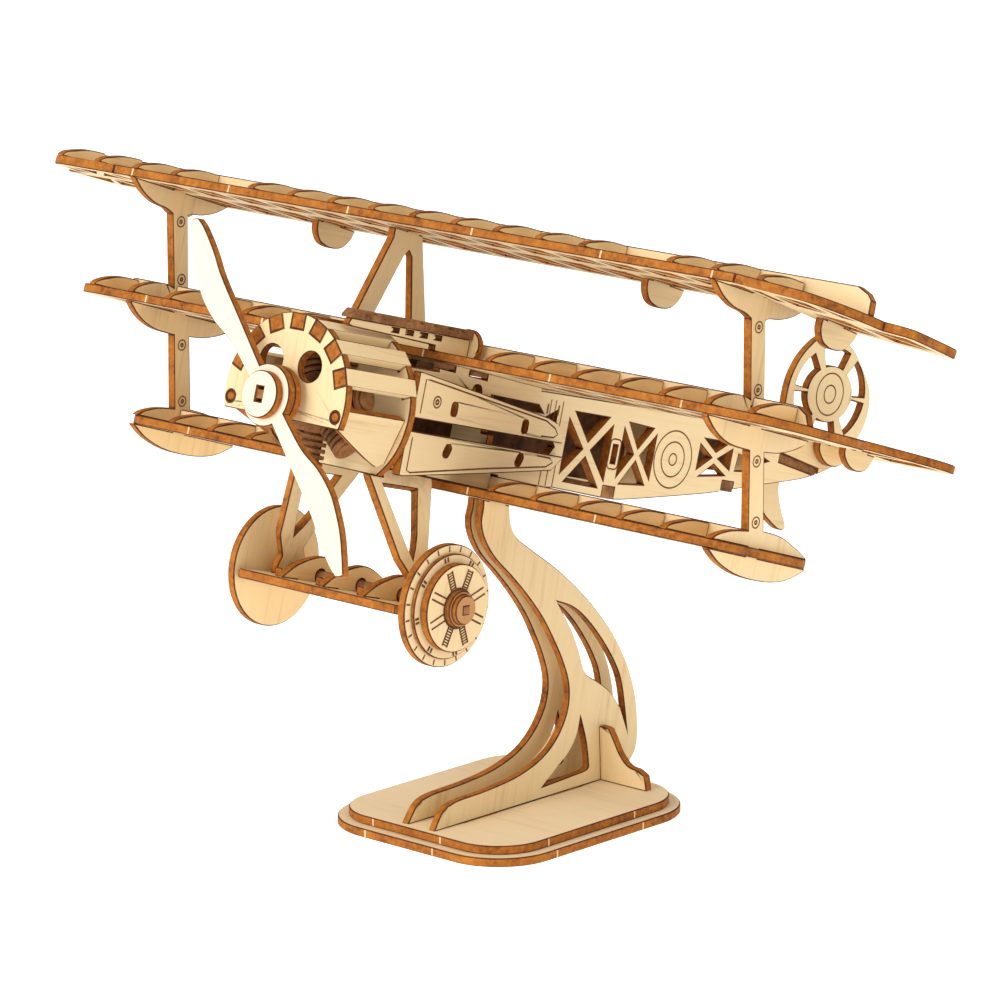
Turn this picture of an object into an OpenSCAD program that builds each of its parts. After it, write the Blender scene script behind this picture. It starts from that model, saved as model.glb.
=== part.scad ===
// Slot-together plywood triplane scale model on a curved display stand.
// Millimetres, +Z up, nose toward -Y, port wing toward +X, base underside on Z = 0.
// Aircraft parts are laid out with the propeller axis level, then pitched nose-up.

/* [Aircraft] */
// Nose-up angle of the aircraft on its stand, degrees
pitch = 16; // [10:0.5:20]
// Distance between neighbouring wing ribs
rib_pitch = 12; // [11:0.5:13]
// Distance from the propeller axis to the blade tip
prop_radius = 45; // [38:0.5:47]
// Angle of the propeller at rest, degrees
prop_angle = 0; // [-180:1:180]

/* [Wings] */
// Half span of the upper wing over the aileron horns
upper_half_span = 123.6; // [120:0.1:126]
// Half span of the middle wing
middle_half_span = 103.5; // [100:0.5:108]
// Half span of the lower wing
lower_half_span = 87; // [86:0.5:95]
// Fore and aft width of the upper wing
upper_chord = 34; // [32:0.5:38]
// Fore and aft width of the lower wing
lower_chord = 33; // [32:0.5:38]

/* [Undercarriage] */
// Outer radius of the tyre discs
tyre_radius = 13.1; // [12:0.1:14]
// Radius of the thin rim disc on each wheel
rim_radius = 11.2; // [10.4:0.1:11.8]
// Radius of the spoked disc on each wheel
spoke_disc_radius = 9.4; // [8.6:0.1:10]

/* [Stand] */
// Side to side width of the lower base plate
base_width = 57.2; // [50:0.2:80]
// Front to back length of the lower base plate
base_length = 66.9; // [60:0.1:90]
// Corner radius of the lower base plate
base_corner = 14.3; // [8:0.1:18]
// Step between the two base plates
base_step = 2.5; // [1:0.1:3]

/* [Hidden] */
ply = 2;
fit = 0.05;
axis_back = -69.4;
axis_high = 105.9;
// leading edge y, top face z and incidence of each wing
upper_wing = [27.7, 42.3, 4.5];
middle_wing = [33.1, 15.4, 3];
lower_wing = [41.6, -11.4, 2.5];
strut_x = 83;
side_x = 9.5;
shaft_r = 1.5;
axle_pos = [33, -36.5];
axle_r = 1.2;
stand_lean = 2.07;
birch = [0.86, 0.72, 0.53];
burnt = [0.62, 0.36, 0.17];

// ---- frames and plate helpers ----

module aircraft() {
    translate([0, axis_back, axis_high]) rotate([-pitch, 0, 0]) children();
}

module in_wing(w) {
    translate([0, w[0], w[1]]) rotate([-w[2], 0, 0]) children();
}

// plate standing across X, outline drawn as (y, z), from x0 to x0 + t
module side_plate(x0, pts, t = 2) {
    translate([x0, 0, 0]) rotate([90, 0, 90]) linear_extrude(height = t) polygon(pts);
}

// plate facing the nose, outline drawn as (x, z), from y0 to y0 + t
module front_plate(y0, pts, t = 2) {
    translate([0, y0 + t, 0]) rotate([90, 0, 0]) linear_extrude(height = t) polygon(pts);
}

// round bar or bore along Y from y0 to y1 at (x, z)
module bar_y(x, z, y0, y1, r, f = 64) {
    translate([x, y1, z]) rotate([90, 0, 0]) cylinder(h = y1 - y0, r = r, $fn = f);
}

// round bar or bore along X from x0 to x1 at (y, z)
module bar_x(y, z, x0, x1, r, f = 64) {
    translate([x0, y, z]) rotate([0, 90, 0]) cylinder(h = x1 - x0, r = r, $fn = f);
}

module box(a, b) {
    translate(a) cube(b - a);
}

module mirrored() {
    children();
    mirror([1, 0, 0]) children();
}

function cr(a, b, c, d, t) = 0.5 * (2 * b + (c - a) * t + (2 * a - 5 * b + 4 * c - d) * t * t
    + (3 * b - a - 3 * c + d) * t * t * t);
// smooth open curve through the given points
function curve(p, n = 5) = concat([for (i = [0:len(p) - 2]) for (k = [0:n - 1])
    cr(p[max(i - 1, 0)], p[i], p[i + 1], p[min(i + 2, len(p) - 1)], k / n)], [p[len(p) - 1]]);
function arc(cx, cy, rx, ry, a0, a1, n) = [for (i = [0:n])
    [cx + rx * cos(a0 + (a1 - a0) * i / n), cy + ry * sin(a0 + (a1 - a0) * i / n)]];
function flip(p) = [for (i = [len(p) - 1:-1:0]) [-p[i][0], p[i][1]]];
function move(p, d) = [for (q = p) q + d];
// height of a wing's top face above a station y
function top_at(w, y) = w[1] - (y - w[0]) * tan(w[2]);
function under_at(w, y) = top_at(w, y) - ply / cos(w[2]);

// room for a wing plate with a neck left between u0 and u1, everything above capped at cap
module wing_room(w, u0, u1, chord) {
    in_wing(w) {
        box([-130, -8, -ply], [130, u0, 0]);
        box([-130, u1, -ply], [130, chord + 6, 0]);
    }
}

// room for a part that ends flush with the wing's upper face in a neck from u0 to u1
module wing_end(w, u0, u1, cap) {
    in_wing(w) {
        box([-130, -20, -ply], [130, u0, 30]);
        box([-130, u1, -ply], [130, 60, 30]);
        box([-130, u0 - 1, cap], [130, u1 + 1, 30]);
    }
}

// slot through a wing plate for a neck of a plate standing at x0 to x1
module wing_slot(x0, x1, u0, u1) {
    box([x0 - fit, u0 - fit, -3], [x1 + fit, u1 + fit, 1]);
}

// ---- display stand ----

module rounded_slab(w, l, r, z0, z1) {
    translate([0, 0, z0]) linear_extrude(height = z1 - z0) polygon(concat(
        arc(w / 2 - r, l / 2 - r, r, r, 0, 90, 16),
        arc(r - w / 2, l / 2 - r, r, r, 90, 180, 16),
        arc(r - w / 2, r - l / 2, r, r, 180, 270, 16),
        arc(w / 2 - r, r - l / 2, r, r, 270, 360, 16)));
}

module base_lower_plate() {
    color(birch) rounded_slab(base_width, base_length, base_corner, 0, ply);
}

module base_upper_plate() {
    color(birch) difference() {
        rounded_slab(base_width - 2 * base_step, base_length - 2 * base_step,
            base_corner - base_step, ply, 2 * ply);
        for (s = [-1, 1]) for (y = [-20, 8])
            box([s * 3.95 - 1.15, y - fit, 1], [s * 3.95 + 1.15, y + 10 + fit, 5]);
    }
}

stand_outline = concat(
    curve([[-29.6, 3.6], [-28.2, 5.8], [-26.2, 8], [-22.2, 9.2], [-12, 9.6], [-2.6, 10.6],
        [5.4, 13], [10.8, 16.8], [14.2, 22], [14.9, 27.6], [13.1, 33.4], [10.3, 38.9],
        [6.9, 44.5], [2.2, 50.4], [-2.7, 55.6], [-7.4, 60.2], [-10.1, 63.8], [-11.6, 67.2],
        [-11.8, 69.9], [-11, 73], [-10.6, 82]]),
    curve([[-2.2, 82], [-2.4, 73], [-2.6, 70], [-2.3, 67.1], [-0.5, 63.8], [4.9, 59.7],
        [11.2, 55.2], [17.6, 49.9], [23.1, 44.6], [28.8, 38], [33.3, 31], [36.4, 23.5],
        [37.5, 16.3], [37, 9.5], [34.4, 6], [30.4, 3.6]]));

crescent = concat(
    curve([[11.9, 47.2], [16.5, 45.2], [20.6, 42.1], [25.4, 36.8], [29.9, 30.3], [32.4, 24.3],
        [33.7, 14.1]]),
    curve([[31.8, 19.2], [28.5, 23.5], [24.4, 26.6], [20.5, 29.4], [18.7, 34.5], [16.3, 40],
        [13, 45.3]]));

leaf = concat(
    curve([[18.5, 19.6], [20, 14.2], [20.6, 9.5], [20, 7.3], [14.4, 6.9], [5.5, 6.5]]),
    curve([[6.6, 7.3], [10.5, 9.8], [14.6, 12.6], [17.2, 15.9], [18.3, 19]]));

module stand_plate(s) {
    difference() {
        translate([s * 3.95, 0, 4]) rotate([0, -s * stand_lean, 0]) translate([0, 0, -4])
            difference() {
                side_plate(-ply / 2, stand_outline);
                side_plate(-2, crescent, 4);
                side_plate(-2, leaf, 4);
            }
        box([-40, -60, -20], [40, 60, 4]);
        aircraft() wing_end(lower_wing, 25.2, 31, 0);
    }
    for (y = [-20, 8])
        box([s * 3.95 - 0.98, y, ply], [s * 3.95 + 0.98, y + 10, 4]);
}

module stand_plate_left() {
    color(birch) stand_plate(-1);
}

module stand_plate_right() {
    color(birch) stand_plate(1);
}

// curved bracket beside each stand plate, inner edge cut to the plate's lean
module stand_braces() {
    color(birch) for (s = [-1, 1]) difference() {
        front_plate(24.5, brace_outline(s));
        brace_room(s);
    }
}

function brace_outline(s) = concat([[s * 2, 4], [s * 2, 16.4]],
    [for (p = curve([[5.6, 16.4], [7.4, 16], [9, 13.6], [10.6, 11], [13, 8.8], [16, 8.2],
        [17.9, 7], [18.5, 4]])) [s * p[0], p[1]]]);

module brace_room(s) {
    translate([s * 3.95, 0, 4]) rotate([0, -s * stand_lean, 0])
        translate([s > 0 ? -9 : -1, 20, -6]) cube([10, 10, 40]);
}

// ---- cowling, engine and propeller ----

cowl_z = 0.7;
cowl_r = 17.4;
slat_step = 23;

module cowl_front_plate() {
    color(birch) aircraft() difference() {
        bar_y(0, cowl_z, 0, 2, cowl_r, 96);
        box([-20, -1, -20], [20, 3, -4.25]);
        for (k = [-3:3]) translate([0, 0, cowl_z]) rotate([0, k * slat_step, 0])
            box([-1.88, -1, 13.9], [1.88, 3, 20]);
        for (s = [-1, 1]) bar_y(s * 5.6, 7.4, -1, 3, 3.2);
        bar_y(0, 0, -1, 3, shaft_r + 0.06);
        for (s = [-1, 1]) bar_y(s * 15.2, -1.8, -1, 3, 1.2, 32);
    }
}

module cowl_rear_ring() {
    color(birch) aircraft() difference() {
        bar_y(0, cowl_z, 20, 22, 17.3, 96);
        box([-20, 19, -20], [20, 23, -12.5]);
        for (k = [-3:3]) translate([0, 0, cowl_z]) rotate([0, k * slat_step, 0])
            box([-1.88, 19, 14.87], [1.88, 23, 20]);
        bar_y(0, 0, 19, 23, shaft_r + 0.06);
    }
}

module cowl_slats() {
    color(birch) aircraft() for (k = [-3:3])
        translate([0, 0, cowl_z]) rotate([0, k * slat_step, 0]) union() {
            box([-1.85, 0, 15.1], [1.85, 22, 17.3]);
            box([-1.85, 0, 13.95], [1.85, 2, 15.1]);
        }
}

// outline of a cheek as (y, distance down the panel)
cheek = concat([[2, 0], [20, 0], [20, 10.6], [18.8, 11.3]], curve([[17.6, 11.5], [14, 10.2],
    [8, 7.6], [2, 4.8]], 3));

module cowl_cheek(s) {
    translate([s * 16.5, 0, 0]) rotate([0, s * 20, 0])
        translate([s > 0 ? -ply : 0, 0, 0]) rotate([90, 0, 90]) linear_extrude(height = ply)
            polygon([for (p = cheek) [p[0], -p[1]]]);
}

module cowl_cheek_left() {
    color(birch) aircraft() {
        cowl_cheek(-1);
        bar_y(-15.2, -1.8, 0, 2, 1.15, 32);
    }
}

module cowl_cheek_right() {
    color(birch) aircraft() {
        cowl_cheek(1);
        bar_y(15.2, -1.8, 0, 2, 1.15, 32);
    }
}

// profile of one finned cylinder as (radius, distance from the crankcase flat)
fin_profile = concat([[0, 0], [2.1, 0]], [for (f = [0:4]) each [[2.1, 0.6 + f * 1.35],
    [3, 0.6 + f * 1.35], [3, 1.4 + f * 1.35], [2.1, 1.4 + f * 1.35]]], [[2.1, 7.2], [0, 7.2]]);

module radial_engine() {
    color(burnt) aircraft() {
        difference() {
            union() {
                bar_y(0, 0, 2, 20, 4.6, 48);
                front_plate(7.5, [for (k = [0:6]) let (a = 270 + (k + 0.5) * 360 / 7)
                    6.6591 * [cos(a), sin(a)]], 7);
            }
            bar_y(0, 0, 1, 21, shaft_r + 0.3);
        }
        for (k = [0:6]) translate([0, 11, 0]) rotate([0, -k * 360 / 7, 0])
            translate([0, 0, -6]) rotate([180, 0, 0])
                rotate_extrude($fn = 40) polygon(fin_profile);
    }
}

module bearing_washer() {
    color(birch) aircraft() difference() {
        bar_y(0, 0, -1.2, 0, 4.6, 48);
        bar_y(0, 0, -2, 1, shaft_r + 0.06);
    }
}

// blade outline as (distance along the blade, distance across it)
blade = concat(curve([[4, -1.5], [17, -1.4], [29, -1.3], [35, -1.9], [41, -2], [44, -1.5]]),
    curve([[44.6, -0.6], [44.8, 0.4], [43.4, 1.2], [41, 2.3], [37, 3.9], [33, 4.9], [28, 5.6],
        [22, 5], [16, 3.2], [10, 2.5], [4, 2.1]]));

module propeller() {
    k = prop_radius / 45;
    color(birch) aircraft() rotate([0, prop_angle, 0]) difference() {
        union() {
            bar_y(0, 0, -5.6, -3.6, 6.6, 72);
            for (s = [1, -1]) front_plate(-5.6, [for (p = blade) s * [k * p[0] * 0.676
                + p[1] * 0.738, -k * p[0] * 0.738 + p[1] * 0.676]]);
        }
        bar_y(0, 0, -6, -3, shaft_r + 0.02);
    }
}

module propeller_cap() {
    color(birch) aircraft() rotate([0, prop_angle, 0]) difference() {
        bar_y(0, 0, -7.6, -5.6, 5, 64);
        box([-1, -8, -1.6], [1, -5, 1.6]);
    }
}

module propeller_spacer() {
    color(birch) aircraft() difference() {
        bar_y(0, 0, -3.6, -1.6, 6.6, 72);
        bar_y(0, 0, -4, -1, shaft_r + 0.02);
    }
}

module propeller_shaft() {
    color(burnt) aircraft() rotate([0, prop_angle, 0]) {
        bar_y(0, 0, -5.6, 22.3, shaft_r);
        box([-0.95, -7.2, -0.9], [0.95, -5.6, 0.9]);
        bar_y(0, 0, 22.3, 24.3, 3.4);
    }
}

// ---- fuselage ----

mid_under = [for (y = [33, 38, 42.7, 48.7, 52, 59, 66.8]) [y, under_at(middle_wing, y)]];
tail_line = [165, 10.6, 6];
function tail_under(y) = tail_line[1] - (y - tail_line[0]) * tan(tail_line[2]);

side_outline = concat(
    [[22, 11.3], [33, 11.3], [33, mid_under[0][1] - 1.4], [38, mid_under[1][1] - 1.4],
        mid_under[1], mid_under[2], mid_under[2] - [0, 1.4], mid_under[3] - [0, 1.4],
        mid_under[3], [66.8, mid_under[6][1]], [66.8, 11.1], [150, tail_under(150) - 0.2],
        [150, tail_under(150)], [172, tail_under(172)], [174.4, 8.2]],
    curve([[174.6, 7.4], [172.4, 6.2], [167, 3.7], [160, 1.5], [148, -0.9], [133, -4.1],
        [126, -5.4], [112, -7.6], [99, -9.5], [94, -9.7]], 3),
    [[76, -9.2], [66, -10], [60.4, -10.5], [59, top_at(lower_wing, 59)],
        [41.8, top_at(lower_wing, 41.8)], [22, -10.6]]);

// one cross-braced bay between y0 and y1 with four triangular openings
module lattice(y0, y1, zt0, zt1, zb0, zb1, b = 1.7) {
    ym = (y0 + y1) / 2;
    tt = (zt0 + zt1) / 2;
    bb = (zb0 + zb1) / 2;
    zm = (tt + bb) / 2;
    side_plate(-14, [[y0 + b, zt0], [y1 - b, zt1], [ym, zm + b]], 28);
    side_plate(-14, [[y0 + b, zb0], [ym, zm - b], [y1 - b, zb1]], 28);
    side_plate(-14, [[y0, zt0 - b], [ym - b * 0.8, zm], [y0, zb0 + b]], 28);
    side_plate(-14, [[y1, zt1 - b], [y1, zb1 + b], [ym + b * 0.8, zm]], 28);
}

module side_openings() {
    lattice(77.4, 92.2, 7.9, 7.9, -7.4, -7.6);
    lattice(96.2, 107.4, 7.6, 7.2, -6, -5.4, 1.4);
    lattice(123, 134.4, 7, 7, -1.4, -0.4, 1.4);
    side_plate(-14, [[93.3, 2.2], [95.1, 2.2], [95.1, -1.8], [93.3, -1.8]], 28);
    side_plate(-14, [[136.8, 4.8], [141.4, 4], [141.4, 1.4], [136.4, 1]], 28);
    side_plate(-14, [[24, -2.2], [72.4, -2.4], [74, -0.4], [72.4, 1.3], [24, 1.6]], 28);
    side_plate(-14, [[50.8, 8.2], [66.6, 7.9], [68.4, 6.4], [51, 6.5]], 28);
    side_plate(-14, [[69.6, 5.6], [73, 7.4], [73, 3.6], [70.4, 4]], 28);
    side_plate(-14, [[143.6, 5.6], [147.6, 4.4], [143.6, 3.2]], 28);
    side_plate(-14, [[143.6, 8.8], [147.6, 8.4], [145.4, 6.6]], 28);
    side_plate(-14, [[151.4, 6.8], [166, 4.6], [166, 2.8], [151.4, 4.6]], 28);
    bar_x(46, 8.4, -14, 14, 1.5, 32);
    box([-14, 92.5, -11], [14, 96.5, -7]);
    box([-14, 132.8, -6], [14, 136.8, -1.6]);
}

module fuselage_side(x0) {
    difference() {
        side_plate(x0, side_outline);
        side_openings();
        in_wing(lower_wing) box([-14, 13.65, -1], [14, 15.75, 3.55]);
        box([-14, 52 - fit, -4 - fit], [14, 54 + fit, fit]);
    }
}

module fuselage_side_left() {
    color(birch) aircraft() fuselage_side(-side_x - ply);
}

module fuselage_side_right() {
    color(birch) aircraft() fuselage_side(side_x);
}

// cross frames inside the fuselage, the first with pegs through both sides
module fuselage_formers() {
    color(birch) aircraft() {
        union() {
            box([-side_x, 52, -8.2], [side_x, 54, 10.6]);
            box([-side_x - ply, 52, -4], [side_x + ply, 54, 0]);
        }
        box([-side_x, 110, -7], [side_x, 112, 9]);
        box([-side_x, 148, 0.2], [side_x, 150, 9]);
        box([-side_x, 168, 5], [side_x, 170, 9]);
    }
}

// dark centre web seen through the side openings, in three lengths between the frames
module fuselage_keel() {
    color(burnt) aircraft() {
        side_plate(-1, [[25, -9.5], [25, 10.8], [52, 10.8], [52, -8.2]]);
        side_plate(-1, [[54, -8], [54, 8.9], [110, 8.9], [110, -6.6], [92, -6.6], [92, -7.8],
            [60, -8]]);
        side_plate(-1, [[112, -6.4], [112, 8.9], [148, 8.9], [148, 0.4], [136, -0.2],
            [130, -0.4], [126, -4]]);
    }
}

module fuselage_deck() {
    color(birch) aircraft()
        translate([0, 0, 9]) linear_extrude(height = ply) polygon(concat(
            [[side_x, 70], [side_x, 150], [-side_x, 150], [-side_x, 70]],
            arc(0, 70, 6, 7, 180, 0, 16)));
}

// square pegs closing the notches along the fuselage underside and behind the cowling
module fuselage_pegs() {
    color(burnt) aircraft() {
        box([-side_x - ply, 92.5, -9.7], [side_x + ply, 96.5, -7]);
        box([-side_x - ply, 132.8, -3.9], [side_x + ply, 136.8, -1.6]);
        // strips let into the long slots ahead of the tailplane
        for (x = [-side_x - 1.4, side_x]) side_plate(x, [[151.5, 6.65], [165.9, 4.45],
            [165.9, 2.95], [151.5, 4.75]], 1.4);
        for (s = [-1, 1]) {
            box([s > 0 ? side_x : -side_x - ply, 33.3, 12.05], [s > 0 ? side_x + ply : -side_x,
                37.7, 13.1]);
            box([s > 0 ? side_x : -side_x - ply, 43, 11.55], [s > 0 ? side_x + ply : -side_x,
                48.4, 12.55]);
        }
    }
}

// flat panels standing off the sides behind the cowling, toed in toward the tail
module fairing(s, pts, x0, x1, slots) {
    lean = atan((x0 - x1) / 50);
    translate([s * x0, 22, 0]) rotate([0, 0, s * lean]) difference() {
        translate([s > 0 ? -ply : 0, 0, 0]) rotate([90, 0, 90]) linear_extrude(height = ply)
            polygon(pts);
        for (q = slots) translate([-3, q[0], q[1]]) rotate([q[2], 0, 0]) {
            for (d = [-0.6, 0.6]) translate([0, 0, d]) rotate([0, 90, 0])
                cylinder(h = 6, r = 0.95, $fn = 32);
            translate([0, -0.95, -0.6]) cube([6, 1.9, 1.2]);
        }
    }
}

upper_fairing = [[0.1, 0.9], [52, 0.6], [51.6, 3], [49, 4.9], [46, 5.6], [1.2, 10.6],
    [0.1, 10.6]];
lower_fairing = [[0.1, -1.9], [53.4, -2.2], [50, -5.5], [28, -8.4], [1.4, -11.6],
    [0.1, -11.6]];

// oval viewing holes as (y, z, slant)
upper_holes = [[13.4, 4, 0], [38, 2.9, 0]];
lower_holes = [[14.2, -4.9, -24], [38.4, -4.3, -24]];

module fairing_upper_left() {
    color(birch) aircraft() fairing(-1, upper_fairing, 16.3, 13.9, upper_holes);
}

module fairing_upper_right() {
    color(birch) aircraft() fairing(1, upper_fairing, 16.3, 13.9, upper_holes);
}

module fairing_lower_left() {
    color(birch) aircraft() fairing(-1, lower_fairing, 15.6, 13.8, lower_holes);
}

module fairing_lower_right() {
    color(birch) aircraft() fairing(1, lower_fairing, 15.6, 13.8, lower_holes);
}

// small packing strips between the sides and the fairings
module fairing_standoffs() {
    color(burnt) aircraft() mirrored() {
        box([side_x + ply, 37, 1.9], [13.2, 42, 3.6]);
        box([side_x + ply, 60, 1.9], [12.2, 64, 3.6]);
        box([side_x + ply, 38, -5], [12.8, 42, -3]);
        box([side_x + ply, 60, -5], [12, 64, -3]);
    }
}

// ---- gun above the cowling, on the port side of the centre line ----

gun_x = 7.8;

module gun_side_plates() {
    color(birch) aircraft() difference() {
        side_plate(gun_x - 1, [[5.6, 17.6], [7, 17.2], [22, 16.8], [33.4, 16.4], [33.4, 14.6],
            [44, 14], [44, 19], [6.4, 19]]);
        for (k = [0:3]) side_plate(gun_x - 2, move([[-1.1, -0.4], [1.1, -0.4], [1.1, 0.5], [-1.1, 0.5]],
            [20.2 + k * 4.5, 18.1]), 4);
        in_wing(middle_wing) box([-30, -5, -4], [30, 40, 0]);
    }
}

module gun_top_plates() {
    color(burnt) aircraft() difference() {
        box([gun_x - 1.6, 5.8, 19], [gun_x + 1.6, 44, 21]);
        for (y = [12, 22.4, 26.8, 31.2, 35.6, 40])
            box([gun_x - 2, y, 20.3], [gun_x + 2, y + 1.4, 23]);
        translate([gun_x, 5.8, 21]) rotate([45, 0, 0]) box([-3, -1, -1], [3, 1, 1]);
    }
}

module gun_end_discs() {
    color(birch) aircraft() difference() {
        bar_y(gun_x, 17.6, 44, 45.6, 3.6, 48);
        in_wing(middle_wing) box([-30, -5, -8], [30, 40, 0]);
    }
}

module cabane_strut() {
    color(birch) aircraft() difference() {
        side_plate(-side_x - ply - 2, concat([[36.4, 46], [45.6, 46], [45.6, 38.6],
            [51.5, 21], [53, 15.8], [53.4, 14], [47.2, 14]],
            [[47.2, 14], [46.6, 21], [43.2, 34], [42, 35.2], [41, 34.2], [35.1, 21],
            [32.2, 15], [28.8, 8], [23.6, 8], [26.9, 15.4], [29.4, 21], [36.4, 37.4]]));
        wing_end(upper_wing, 12.9, 17, 0);
        in_wing(middle_wing) {
            box([-20, 0, -6], [0, 30, 0]);
            box([-20, 13.65, -1], [0, 15.75, 4.1]);
        }
    }
}

// ---- wings ----

function half_tip(b, c, r) = concat([[b - r, 0]], curve([[b - r, 0], [b - r * 0.45, r * 0.2],
    [b - r * 0.14, r * 0.55], [b, r]]), curve([[b, c - r * 0.8], [b - r * 0.12, c - r * 0.38],
    [b - r * 0.36, c - r * 0.1], [b - r * 0.75, c]]));

function whole(half) = concat(half, flip(half));

// diagonal lightening cut-outs between the rib bars, ahead of and behind the spar
module wing_cutouts(n0, n1, skip) {
    for (k = [n0:n1 - 1]) if (k < -skip || k >= skip) {
        x0 = k * rib_pitch + 1.6;
        x1 = (k + 1) * rib_pitch - 1.6;
        translate([0, 0, -3]) linear_extrude(height = 4)
            polygon([[x0, 5.2], [x1 - 1.4, 12.4], [x0, 12.4]]);
        translate([0, 0, -3]) linear_extrude(height = 4)
            polygon([[x0 + 1.4, 3.6], [x1, 3.6], [x1, 11]]);
        translate([0, 0, -3]) linear_extrude(height = 4)
            polygon([[x0, 19], [x1 - 1.2, 30.6], [x0, 30.6]]);
        translate([0, 0, -3]) linear_extrude(height = 4)
            polygon([[x0 + 1.2, 17.6], [x1, 17.6], [x1, 29.2]]);
    }
}

function rib_outline(len, h) = concat([[0.4, 0]], curve([[0.4, 0.2], [1.6, 1.2], [4.4, h * 0.68],
    [8.4, h * 0.94], [len, h]], 4), [[len, 0]]);

module wing_rib(x, len, h) {
    side_plate(x - ply / 2, rib_outline(len, h));
}

// the outer panels start at this half span; [starboard, port]: twist lowers the trailing
// edge and drop lowers the outer end, so the starboard panel is level, its trailing edge up
tip_start = 90;
tip_twist = [-1.6, 3.4];
tip_drop = [0, 3.6];
tip_l = upper_half_span - tip_start;
tip_z = -0.02;

module in_tip(s) {
    translate([s * tip_start, 0, tip_z])
        rotate([-tip_twist[s > 0 ? 1 : 0], s * tip_drop[s > 0 ? 1 : 0], 0]) children();
}

module upper_wing_plate() {
    color(birch) aircraft() in_wing(upper_wing) difference() {
        box([0.2 - tip_start, 0, -ply], [tip_start - 0.2, upper_chord, 0]);
        wing_cutouts(-7, 7, 0);
        for (s = [-1, 1]) translate([s * 86.6, 0, -3]) {
            linear_extrude(height = 4) polygon([[-1, 4], [1.4, 4], [1.4, 12.4], [-1, 12.4]]);
            linear_extrude(height = 4) polygon([[-1, 19], [1.4, 19], [1.4, 30.6], [-1, 30.6]]);
        }
        for (s = [-1, 1]) wing_slot(s * (strut_x + 1) - 1, s * (strut_x + 1) + 1, 12.9, 17);
        wing_slot(-13.5, -11.5, 12.9, 17);
        for (x = [-48, 48]) wing_slot(x - 1, x + 1, 24, 30);
    }
}

// tip panel outline for the port side, x counted from where the panel starts
tip_outline = concat([[0.05, 0], [16, 0]], curve([[17, 0.1], [19.6, 1.2], [22, 3.4],
    [24.2, 7.6], [25.6, 12], [26.2, 16]], 3), [[26.2, 17.6], [30, 17.6]],
    curve([[30, 17.6], [tip_l - 0.8, 18.4], [tip_l, 20.8], [tip_l - 0.3, 28],
    [tip_l - 1, 34.6], [tip_l - 3, 36.4]], 3), [[0.05, upper_chord]]);

module upper_wing_tip(s) {
    in_wing(upper_wing) in_tip(s) difference() {
        translate([0, 0, -ply]) linear_extrude(height = ply)
            polygon([for (p = tip_outline) [s * p[0], p[1]]]);
        translate([0, 0, -3]) for (q = [[[2, 4], [4.4, 4], [4.4, 12.4], [2, 12.4]],
            [[7.6, 5.2], [15, 12.4], [7.6, 12.4]], [[9, 3.6], [16.4, 3.6], [16.4, 11]],
            [[19.6, 4.6], [23.4, 12.4], [19.6, 12.4]],
            [[7.6, 19], [15.2, 31], [7.6, 31]], [[8.8, 17.6], [16.4, 17.6], [16.4, 29.2]],
            [[19.6, 20.6], [28.4, 31.6], [19.6, 31.6]], [[21, 20], [30.4, 20.6], [30.4, 31]]])
            linear_extrude(height = 4) polygon([for (p = q) [s * p[0], p[1]]]);
        wing_slot(s * 6 - 1, s * 6 + 1, 24, 30);
    }
}

module upper_wing_tips() {
    color(birch) aircraft() {
        upper_wing_tip(-1);
        upper_wing_tip(1);
    }
}

module spar_bar(x0, x1, u, h, w1 = 0, w0 = 0) {
    translate([0, u + ply, 0]) rotate([90, 0, 0]) linear_extrude(height = ply)
        polygon([[x0, 0], [x1, 0], [x1 - w1 * 0.3, h * 0.6], [x1 - w1, h], [x0 + w0, h],
            [x0 + w0 * 0.3, h * 0.6]]);
}

// the spar's lower edge steps down or up to rest on the higher side of each tip panel
function spar_under(s, d) = tip_z - 0.02 - (s > 0 ? 13.8 : 15.8) * sin(tip_twist[s > 0 ? 1 : 0])
    - d * tan(tip_drop[s > 0 ? 1 : 0]);
function spar_end(s) = [[tip_start + 0.1, 0], [tip_start + 0.1, spar_under(s, 0.1)],
    [tip_start + 24.6, spar_under(s, 24.6)], [tip_start + 24.4, 0.6], [tip_start + 23, 2],
    [tip_start + 20.4, 3.1]];

module upper_wing_spar() {
    color(birch) aircraft() in_wing(upper_wing) translate([0, 15.8, 0]) rotate([90, 0, 0])
        linear_extrude(height = ply) polygon(concat(spar_end(1), flip(spar_end(-1))));
}

module upper_wing_ribs() {
    color(birch) aircraft() in_wing(upper_wing) {
        for (k = [-7:7]) if (abs(k) != 5) wing_rib(k * rib_pitch, 13.8, 3);
        for (x = [6, -6, -18]) in_tip(x == 6 ? 1 : -1) wing_rib(x, 13.4, 3);
    }
}

module wing_tab(x) {
    side_plate(x - 1, concat([[24, 0], [24, -ply], [22.6, -ply]],
        curve([[22.6, -2], [23, -4.4], [25, -6.6], [28.4, -7.2], [32, -6.4],
        [34.2, -4.2], [35, -2]], 4), [[30, -ply], [30, 0]]));
}

module upper_wing_tabs() {
    color(birch) aircraft() in_wing(upper_wing) {
        for (x = [-48, 48]) wing_tab(x);
        for (s = [-1, 1]) in_tip(s) wing_tab(s * 6);
    }
}

middle_half = concat([[0, 0]], half_tip(middle_half_span, upper_chord, 9),
    [[0, upper_chord]]);

module middle_wing_plate() {
    color(birch) aircraft() in_wing(middle_wing) difference() {
        translate([0, 0, -ply]) linear_extrude(height = ply) polygon(whole(middle_half));
        wing_cutouts(-8, 8, 2);
        for (s = [-1, 1]) wing_slot(s * (strut_x + 1) - 1, s * (strut_x + 1) + 1, 14.4, 18.6);
    }
}

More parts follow.
